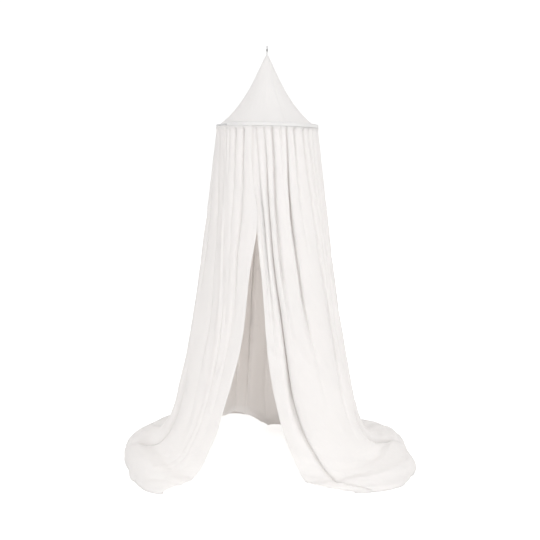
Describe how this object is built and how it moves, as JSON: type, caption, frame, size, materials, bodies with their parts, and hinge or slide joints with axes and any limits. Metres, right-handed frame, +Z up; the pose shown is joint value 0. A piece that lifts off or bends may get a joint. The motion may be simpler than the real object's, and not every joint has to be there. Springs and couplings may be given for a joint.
{
  "type": "mosquito net canopy with its hoop and ceiling hook",
  "caption": "Hanging bed canopy of cloth: a cone on a bound hoop above a long gathered skirt, parted at the front and pooling on the floor.",
  "frame": {"origin": "top of the hook's shank, where a ceiling or bracket holds the canopy; the floor lies 2.055 m below", "axes": "+Z up, along the drop; -Y towards the parted front; +X to the right as seen from the front"},
  "size_m": [1.4777, 1.1351, 2.055],
  "materials": {
    "canopy_cloth": "plain woven off-white cotton, slightly crinkled, matt",
    "binding_cloth": "folded off-white cotton strip with a sewn edge",
    "loop_cord": "off-white twisted cotton cord",
    "hoop": "satin grey",
    "hook": "satin dark grey"
  },
  "bodies": {
    "root": {"hook": "hook", "hanging_loop": "loop_cord", "cone": "canopy_cloth", "hoop": "hoop", "hoop_binding": "binding_cloth", "skirt": "canopy_cloth"}
  },
  "joints": []
}
